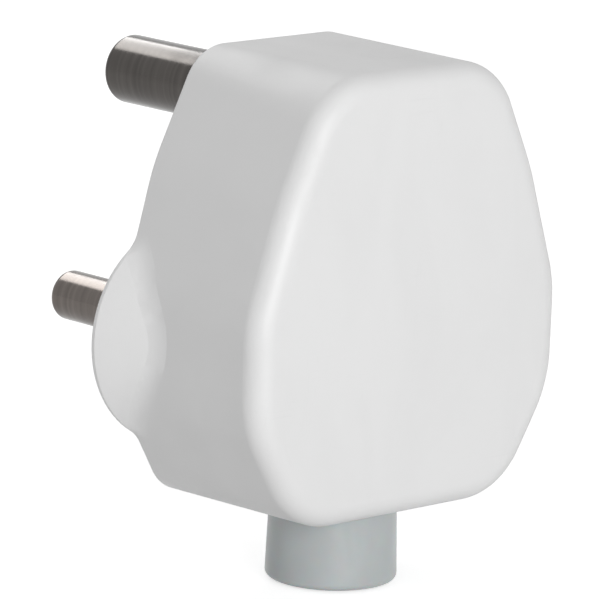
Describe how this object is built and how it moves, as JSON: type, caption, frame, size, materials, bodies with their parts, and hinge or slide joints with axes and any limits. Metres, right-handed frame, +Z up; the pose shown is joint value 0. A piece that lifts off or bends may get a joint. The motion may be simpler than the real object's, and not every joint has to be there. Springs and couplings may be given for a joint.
{
  "type": "three-pin plug top",
  "caption": "Rewirable mains plug top with round pins, a moulded white cover, a pin base with screw terminals and a cord grip, and a soft sleeve at the cord outlet.",
  "frame": {"origin": "on the earth pin's axis, where it leaves the rear face that meets the socket", "axes": "+Y out of the rear face along the pins, -Y towards the flat front face, +Z up towards the earth pin's edge with the cord outlet at the bottom, +X to the right as seen from the front"},
  "size_m": [0.046, 0.0435, 0.0531],
  "materials": {
    "cover_plastic": "smooth moulded white plastic with a soft sheen",
    "base_plastic": "moulded white plastic, satin",
    "pin_metal": "turned brass with dark bright plating",
    "screw_steel": "zinc plated steel",
    "insert_brass": "plain turned brass",
    "sleeve_rubber": "soft grey vinyl, satin",
    "washer_fibre": "red fibre board"
  },
  "bodies": {
    "root": {"cover": "cover_plastic", "pin_base": "base_plastic", "earth_pin": "pin_metal", "line_pin": "pin_metal", "neutral_pin": "pin_metal", "earth_terminal_screw": "screw_steel", "line_terminal_screw": "screw_steel", "neutral_terminal_screw": "screw_steel", "cable_sleeve": "sleeve_rubber", "cord_grip_bar": "base_plastic", "cord_grip_screw_left": "screw_steel", "cord_grip_screw_right": "screw_steel", "cord_grip_insert_left": "insert_brass", "cord_grip_insert_right": "insert_brass", "cover_screw": "screw_steel", "cover_screw_insert": "insert_brass", "cover_screw_retainer": "washer_fibre"}
  },
  "joints": []
}
